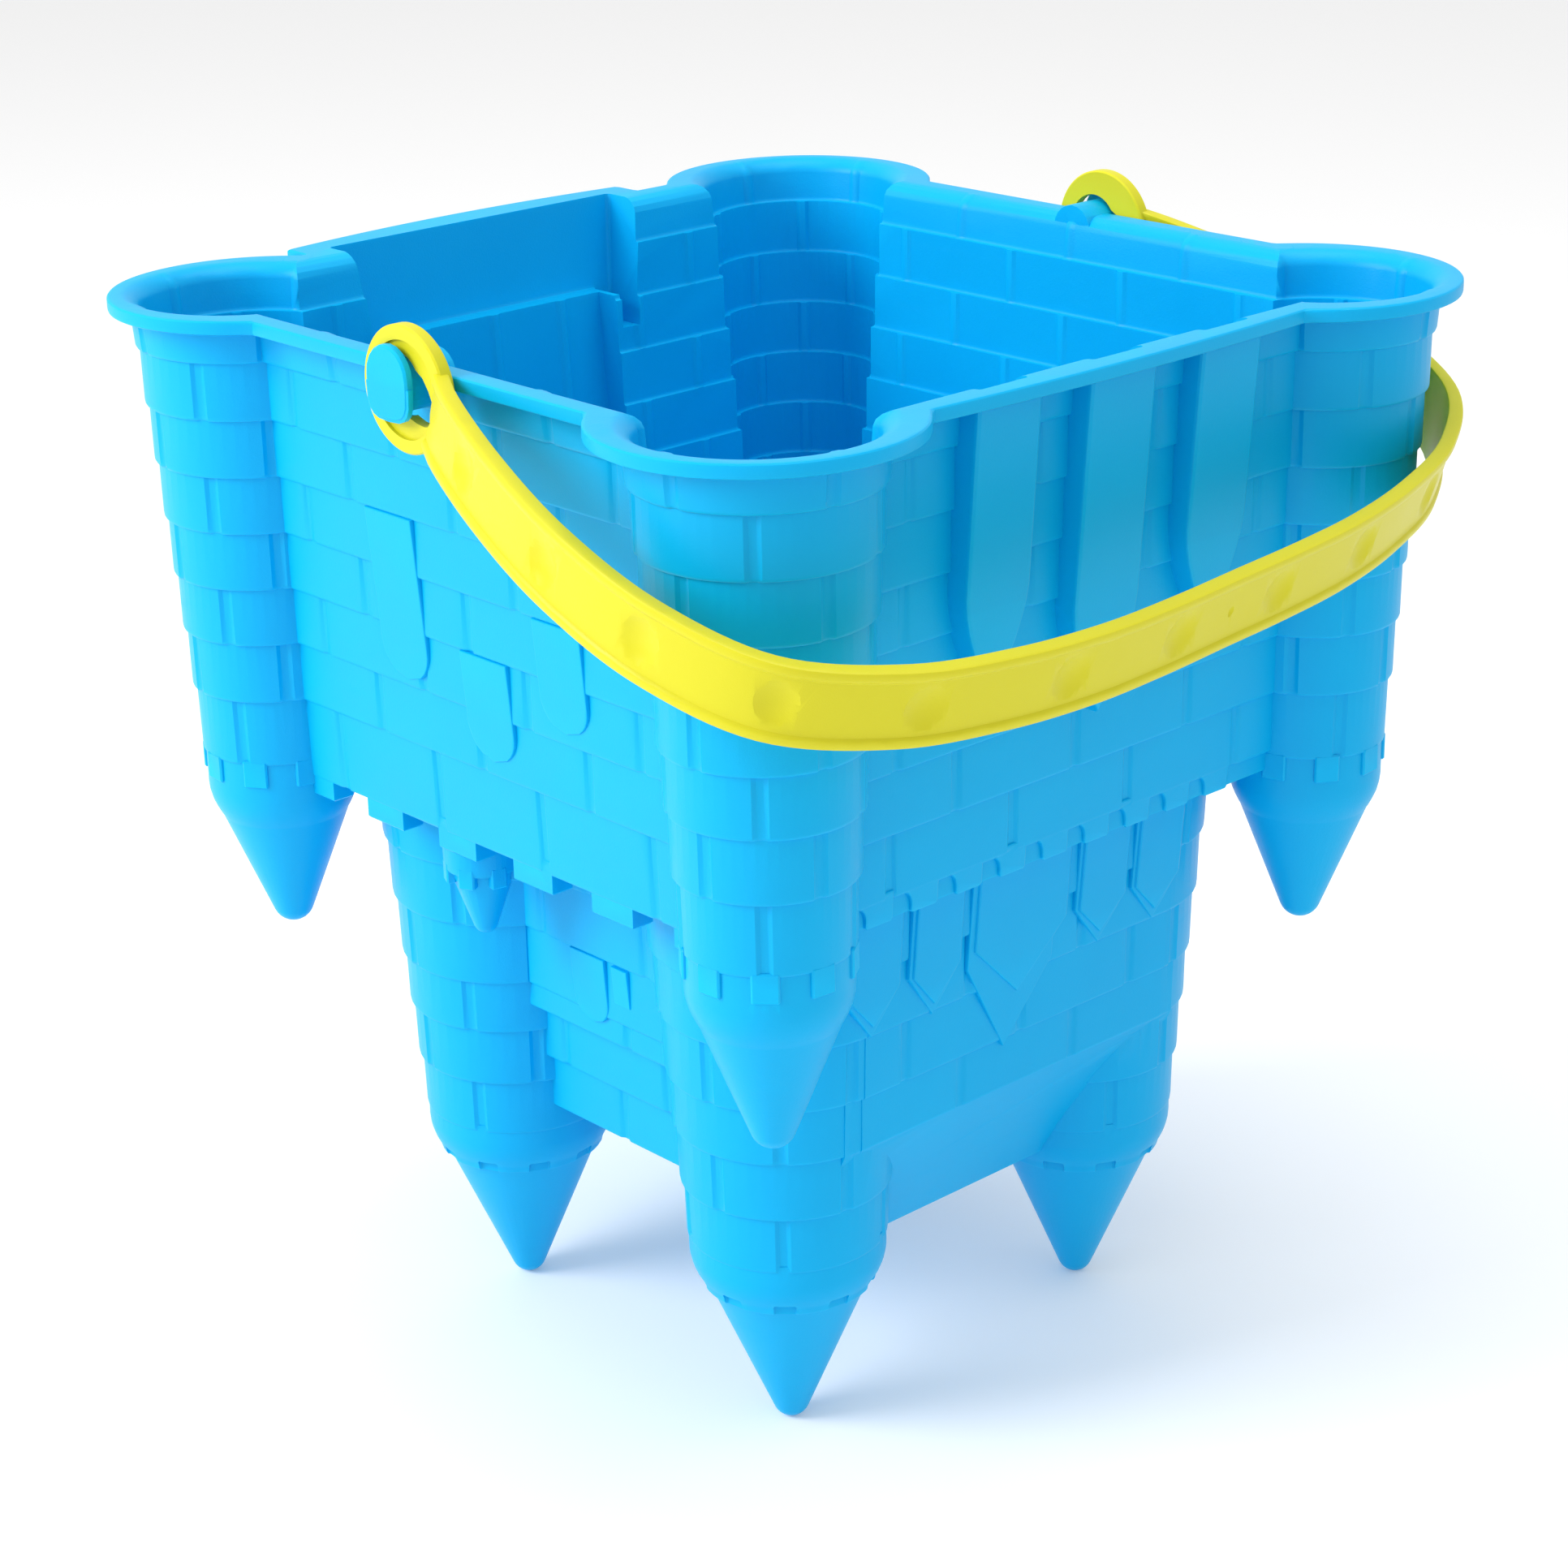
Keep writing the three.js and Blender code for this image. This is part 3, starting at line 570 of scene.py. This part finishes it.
def bucket():
    outer, inner = [], []
    for skin, parts in ((0, outer), (SKIN, inner)):
        parts += walls(skin) + lower_walls(skin) + pads(skin) + turrets(skin)
        for i, j in CORNERS:
            parts += upper_tower(i, j, skin) + lower_tower(i, j, skin)
    outer += wall_details() + [rim_flange()]
    hollow = join(inner)
    shell = cut(join(outer), [hollow])
    return join([shell] + pin(-1) + pin(1))


# ---- the bail ------------------------------------------------------------------------------------
TILT = math.radians(18.2)
DIMPLE_R, DIMPLE_DEEP, MARK = 10.0, 1.2, 0.51
DIMPLES = [MARK + side * u for u in (0.037, 0.11, 0.187, 0.253, 0.318, 0.383, 0.46) for side in (-1, 1)]
LEAN = 0.077
STRAP_W, STRAP_T = 15.8, 3.2
EYE_Y, EYE_T, EYE_R, EYE_OFF, BEAD, BEAD_UP = 95.05, 2.2, 12.2, 2.7, 2.8, 0.7
HOLE_GAP, HOLE_OFF, FAR_SLIDE = 1.0, 0.6, 1.2    # the far eye sits back on its pin by the slack in its hole
LEAN_FROM, LEAN_OVER = 7.5, 75.0    # where along the bail its lean sets in, and over what length
PATH_STEPS = 400
MARK_R, MARK_DEEP = 1.1, 1.6
BAIL = [(11.5, 96.2), (17, 98.9), (36, 105.2), (57.6, 109.6), (80.9, 109.2), (103, 101.2), (116.5, 81.5),
        (122.8, 59.6), (125.8, 38.6), (126.6, 19), (126.6, 0)]


def bail_path(count):
    """Evenly spaced points and outward directions along the strap's middle line."""
    nodes = [(s, -y) for s, y in BAIL] + [(s, y) for s, y in BAIL[-2::-1]]
    leaned = []
    for s, y in nodes:
        t = min(max((s - LEAN_FROM) / LEAN_OVER, 0), 1)
        slide = FAR_SLIDE * (y + EYE_Y) / (2 * EYE_Y)
        leaned.append(Vector((s - LEAN * y * t * t * (3 - 2 * t) - slide, y)))
    fine = []
    pts = [2 * leaned[0] - leaned[1]] + leaned + [2 * leaned[-1] - leaned[-2]]
    for k in range(1, len(pts) - 2):
        p0, p1, p2, p3 = pts[k - 1:k + 3]
        t = [0]
        for a, b in ((p0, p1), (p1, p2), (p2, p3)):
            t.append(t[-1] + max((b - a).length, 1e-6) ** 0.5)
        for m in range(24):
            u = t[1] + (t[2] - t[1]) * m / 24
            a1 = (t[1] - u) / (t[1] - t[0]) * p0 + (u - t[0]) / (t[1] - t[0]) * p1
            a2 = (t[2] - u) / (t[2] - t[1]) * p1 + (u - t[1]) / (t[2] - t[1]) * p2
            a3 = (t[3] - u) / (t[3] - t[2]) * p2 + (u - t[2]) / (t[3] - t[2]) * p3
            b1 = (t[2] - u) / (t[2] - t[0]) * a1 + (u - t[0]) / (t[2] - t[0]) * a2
            b2 = (t[3] - u) / (t[3] - t[1]) * a2 + (u - t[1]) / (t[3] - t[1]) * a3
            fine.append((t[2] - u) / (t[2] - t[1]) * b1 + (u - t[1]) / (t[2] - t[1]) * b2)
    fine.append(leaned[-1])
    lengths = [0.0]
    for a, b in zip(fine, fine[1:]):
        lengths.append(lengths[-1] + (b - a).length)
    out, k = [], 0
    for m in range(count + 1):
        want = lengths[-1] * m / count
        while k < len(lengths) - 2 and lengths[k + 1] < want:
            k += 1
        f = (want - lengths[k]) / (lengths[k + 1] - lengths[k])
        p = fine[k].lerp(fine[k + 1], f)
        ahead = (fine[min(k + 3, len(fine) - 1)] - fine[max(k - 2, 0)]).normalized()
        out.append((p, Vector((ahead.y, -ahead.x))))
    return out


def in_hinge_plane(s, y, w):
    """The bail is drawn flat, reach s and width w, then lowered about its hinge."""
    x = s * math.cos(TILT) + w * math.sin(TILT)
    d = PIN_DEPTH + s * math.sin(TILT) - w * math.cos(TILT)
    return (x, y, d)


def strap():
    w, t, b, p = STRAP_W / 2, STRAP_T / 2, BEAD - 0.7, BEAD_UP
    section = [(-w, -t + 0.5), (-w + 0.15, -t + 0.15), (-w + 0.5, -t), (w - 0.5, -t),
               (w - 0.15, -t + 0.15), (w, -t + 0.5), (w, t - 0.7), (w - 0.2, t - 0.22), (w - 0.7, t),
               (w - b + 0.7, t), (w - b + 0.15, t - 0.15), (w - b - 0.25, t - p + 0.12),
               (w - b - 0.7, t - p), (-w + b + 0.7, t - p), (-w + b + 0.25, t - p + 0.12),
               (-w + b - 0.15, t - 0.15), (-w + b - 0.7, t), (-w + 0.7, t), (-w + 0.2, t - 0.22),
               (-w, t - 0.7)]
    loops = []
    for at, out in bail_path(150):
        loops.append([in_hinge_plane(at.x + out.x * o, at.y + out.y * o, a) for a, o in section])
    return stack(loops, "strap")


def eye(side):
    slid = FAR_SLIDE if side > 0 else 0

    def disc(centre, radius, y0, y1, soft, count=72):
        loops = []
        angles = [2 * math.pi * k / count for k in range(count)]
        for y, s in ((y0, soft), (y0 + soft, 0), (y1 - soft, 0), (y1, soft)):
            r = radius - s
            loops.append([in_hinge_plane(centre - slid + r * math.cos(a), side * y, r * math.sin(a))
                          for a in angles])
        return stack(loops, "disc")
    inner, outer = EYE_Y - EYE_T / 2, EYE_Y + EYE_T / 2
    body = disc(EYE_OFF, EYE_R, inner, outer + BEAD_UP, 0.35)
    dish = disc(EYE_OFF, EYE_R - BEAD, outer, outer + 6, 0.0)
    return cut(body, [dish])


def eye_hole(side):
    """Teardrop opening: round over the pin, drawn out to a corner towards the strap."""
    r = PIN_R + HOLE_GAP
    shift = HOLE_OFF - (FAR_SLIDE if side > 0 else 0)
    pts = []
    for k in range(29):
        a = math.radians(52) + (2 * math.pi - math.radians(104)) * k / 28
        pts.append((r * math.cos(a), r * math.sin(a)))
    pts += [(6.4, -4.9), (8.6, -4.5), (10.4, -3.5), (11.4, -1.9), (10.0, 0.9), (8.2, 2.8), (6.0, 4.4)]
    return stack([[in_hinge_plane(s + shift, side * y, w) for s, w in pts]
                  for y in (EYE_Y - 3, EYE_Y + 4)], "hole")


def bail():
    body = join([strap(), eye(-1), eye(1)])
    path = bail_path(PATH_STEPS)
    tools = [eye_hole(-1), eye_hole(1)]
    for share in DIMPLES:
        p, out = path[round(PATH_STEPS * share)]
        r, far = DIMPLE_R, STRAP_T / 2 - BEAD_UP - DIMPLE_DEEP + DIMPLE_R
        c = in_hinge_plane(p.x + out.x * far, p.y + out.y * far, 0)
        rows = [(r * math.sin(math.pi * k / 20), c[2] - r * math.cos(math.pi * k / 20)) for k in range(1, 20)]
        tools.append(turned(c[0], c[1], rows, 40))
    p, out = path[round(PATH_STEPS * MARK)]      # sprue mark
    c = in_hinge_plane(p.x + out.x * MARK_DEEP, p.y + out.y * MARK_DEEP, 0)
    angles = [math.pi * k / 8 for k in range(1, 8)]
    rows = [(MARK_R * math.sin(a), c[2] - MARK_DEEP * math.cos(a)) for a in angles]
    tools.append(turned(c[0], c[1], rows, 16))
    return cut(body, tools)


# ---- materials -----------------------------------------------------------------------------------
class Maths:
    """A shader socket that can be used in Python sums."""
    tree = None

    def __init__(self, socket):
        self.socket = socket

    @classmethod
    def node(cls, kind, settings=None, **sockets):
        n = cls.tree.nodes.new(kind)
        for key, value in (settings or {}).items():
            setattr(n, key, value)
        for key, value in sockets.items():
            numbered = key[0] == "i" and key[1:].isdigit()
            target = n.inputs[int(key[1:]) if numbered else key.replace("_", " ")]
            if isinstance(value, Maths):
                cls.tree.links.new(value.socket, target)
            else:
                target.default_value = value
        return n

    def _do(self, operation, a, b=0.0):
        return Maths(Maths.node("ShaderNodeMath", {"operation": operation}, i0=a, i1=b).outputs[0])

    def __add__(self, other):
        return self._do("ADD", self, other)

    def __sub__(self, other):
        return self._do("SUBTRACT", self, other)

    def __mul__(self, other):
        return self._do("MULTIPLY", self, other)

    def __rsub__(self, other):
        return self._do("SUBTRACT", other, self)

    __radd__, __rmul__ = __add__, __mul__

    def clamp(self, low=0.0, high=1.0):
        return self._do("MINIMUM", self._do("MAXIMUM", self, low), high)


def moulded_plastic(name, deep, pale, rough, speck, glow, gloss):
    """Moulded polyolefin: faint flow marks, handling scuffs, a fine spark-eroded grain, and a painted
    highlight on sharp edges.
    """
    mat = bpy.data.materials.new(name)
    mat.use_nodes = True
    tree = mat.node_tree
    tree.nodes.clear()
    Maths.tree = tree
    place = Maths(Maths.node("ShaderNodeTexCoord").outputs["Object"])

    def noise(scale, detail=2.0, roughness=0.5, stretch=None):
        at = place
        if stretch:
            at = Maths(Maths.node("ShaderNodeMapping", Vector=place, Scale=stretch).outputs[0])
        n = Maths.node("ShaderNodeTexNoise", Vector=at, Scale=scale, Detail=detail, Roughness=roughness)
        return Maths(n.outputs["Fac"])

    flow = noise(9, 3, 0.55, (1, 1, 0.35))
    cloud = noise(26, 4, 0.6)
    grain = noise(speck, 2, 0.6)
    scuff = noise(60, 5, 0.7, (1, 1, 6))
    edges = Maths(Maths.node("ShaderNodeNewGeometry").outputs["Pointiness"])
    # painted highlight: sharp convex edges (by pointiness) are lightened in colour as if catching the light;
    # the same edges are also made rougher
    edge_rub_and_highlight = ((edges - 0.515) * 14).clamp() * 0.35
    tone = ((flow - 0.5) * 0.5 + (cloud - 0.5) * 0.35 + 0.32 + edge_rub_and_highlight).clamp()
    blend = Maths.node("ShaderNodeMix", {"data_type": "RGBA"}, i0=tone, i6=(*deep, 1), i7=(*pale, 1))
    colour = Maths(blend.outputs[2])
    shine = (rough + (cloud - 0.5) * 0.10 + ((scuff - 0.56) * 3).clamp() * 0.10 + edge_rub_and_highlight * 0.2).clamp(0.12, 0.9)
    bump = Maths.node("ShaderNodeBump", Strength=0.10, Distance=0.0004, Height=grain)
    wavy = Maths.node("ShaderNodeBump", Strength=0.10, Distance=0.0015, Height=cloud,
                      Normal=Maths(bump.outputs[0]))
    body = Maths.node("ShaderNodeBsdfPrincipled", Base_Color=colour, Roughness=shine,
                      Normal=Maths(wavy.outputs[0]))
    body.inputs["IOR"].default_value = 1.49
    body.inputs["Specular IOR Level"].default_value = gloss
    body.inputs["Subsurface Weight"].default_value = glow
    bluish = deep[2] > deep[0]
    body.inputs["Subsurface Radius"].default_value = (0.3, 0.8, 1.0) if bluish else (1.0, 0.7, 0.15)
    body.inputs["Subsurface Scale"].default_value = 0.004
    out = tree.nodes.new("ShaderNodeOutputMaterial")
    tree.links.new(body.outputs[0], out.inputs[0])
    return mat


def finish_body(obj, name, material, body, node, crease=32):
    """Millimetres to the shared frame's metres, soft shading, material, and its place on the frame."""
    mesh = obj.data
    mesh.transform(Matrix.Translation((BUCKET_X / 1000, 0, RIM_Z / 1000)) @ Matrix.Scale(0.001, 4))
    b = bmesh.new()
    b.from_mesh(mesh)
    bmesh.ops.dissolve_degenerate(b, dist=2e-6, edges=b.edges)
    bmesh.ops.triangulate(b, faces=b.faces)
    b.to_mesh(mesh)
    b.free()
    mesh.materials.clear()
    mesh.materials.append(material)
    scratch.objects.unlink(obj)
    bpy.context.scene.collection.objects.link(obj)
    obj.name = mesh.name = name
    bpy.context.view_layer.objects.active = obj
    mesh.shade_smooth()
    mesh.set_sharp_from_angle(angle=math.radians(crease))
    weights = obj.modifiers.new("Flat faces lead the shading", "WEIGHTED_NORMAL")
    weights.keep_sharp = True
    obj.data = bpy.data.meshes.new_from_object(obj.evaluated_get(bpy.context.evaluated_depsgraph_get()))
    obj.modifiers.clear()
    obj.data.name = name
    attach(obj, body)
    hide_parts(node)
    return obj


sky_blue = moulded_plastic("Sky blue polypropylene", (0.0, 0.37, 0.74), (0.0, 0.50, 0.88),
                           rough=0.38, speck=2600, glow=0.08, gloss=0.16)
lemon = moulded_plastic("Lemon yellow polypropylene", (0.62, 0.58, 0.008), (0.70, 0.66, 0.03),
                        rough=0.34, speck=3200, glow=0.06, gloss=0.24)

finish_body(bucket(), "bucket_moulding", sky_blue, "bucket", "bucket_shell")
finish_body(bail(), "bail_moulding", lemon, "bail", "handle")
bpy.data.collections.remove(scratch)

# ---- studio: pale floor, soft key from the left, a softbox overhead -------------------------------
floor_mesh = bpy.data.meshes.new("Studio floor")
floor_mesh.from_pydata([(-4, -4, 0), (4, -4, 0), (4, 4, 0), (-4, 4, 0)], [], [(0, 1, 2, 3)])
floor = bpy.data.objects.new("Studio floor", floor_mesh)
bpy.context.scene.collection.objects.link(floor)
paper = bpy.data.materials.new("White paper")
paper.use_nodes = True
for name, value in (("Base Color", (0.9, 0.9, 0.9, 1)), ("Roughness", 0.9),
                    ("Emission Color", (1, 1, 1, 1)), ("Emission Strength", 0.13)):
    paper.node_tree.nodes["Principled BSDF"].inputs[name].default_value = value
floor_mesh.materials.append(paper)
floor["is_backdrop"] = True

world = bpy.data.worlds.new("Studio")
bpy.context.scene.world = world
world.use_nodes = True
sky = world.node_tree
lit = sky.nodes["Background"]
lit.inputs["Color"].default_value = (1, 1, 1, 1)
lit.inputs["Strength"].default_value = 0.76
# the camera sees a brighter backdrop than the one that lights the bucket
backdrop, seen, mix = [sky.nodes.new("ShaderNode" + kind)
                       for kind in ("Background", "LightPath", "MixShader")]
backdrop.inputs["Strength"].default_value = 1.0
for source, target in ((seen.outputs["Is Camera Ray"], mix.inputs[0]), (lit.outputs[0], mix.inputs[1]),
                       (backdrop.outputs[0], mix.inputs[2]),
                       (mix.outputs[0], sky.nodes["World Output"].inputs["Surface"])):
    sky.links.new(source, target)


def softbox(name, place, target, size, power):
    light = bpy.data.lights.new(name, "AREA")
    light.shape, light.size, light.energy = "SQUARE", size, power
    obj = bpy.data.objects.new(name, light)
    obj.location = place
    obj.rotation_euler = (Vector(target) - Vector(place)).to_track_quat("-Z", "Y").to_euler()
    bpy.context.scene.collection.objects.link(obj)


softbox("Key", (-0.55, -1.15, 0.85), (0, 0, 0.12), 0.7, 15)
softbox("Top", (0.1, 0.1, 1.3), (0, 0, 0.12), 0.8, 6)

# ---- camera ---------------------------------------------------------------------------------------
azimuth, elevation, roll = math.radians(47.60), math.radians(20.98), math.radians(-1.26)
back = Vector((math.sin(azimuth) * math.cos(elevation), -math.cos(azimuth) * math.cos(elevation),
               math.sin(elevation)))
right = Vector((math.cos(azimuth), math.sin(azimuth), 0))
up = back.cross(right)
right, up = right * math.cos(roll) + up * math.sin(roll), up * math.cos(roll) - right * math.sin(roll)
lens = bpy.data.cameras.new("Camera")
lens.sensor_width, lens.lens = 36, 78.2
camera = bpy.data.objects.new("Camera", lens)
camera.matrix_world = Matrix.Translation(((499.2 + BUCKET_X) / 1000, -0.4579, (151.1 + RIM_Z) / 1000)) @ \
    Matrix((right, up, back)).transposed().to_4x4()
bpy.context.scene.collection.objects.link(camera)
bpy.context.scene.camera = camera
bpy.context.scene.view_settings.view_transform = "Standard"

end_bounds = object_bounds()


def plain(value):
    if isinstance(value, dict):
        return {k: plain(v) for k, v in value.items()}
    if isinstance(value, (list, tuple, Vector)):
        return [plain(v) for v in value]
    return float(value) if isinstance(value, (int, float)) else value


{"start": plain(start_bounds), "end": plain(end_bounds)}
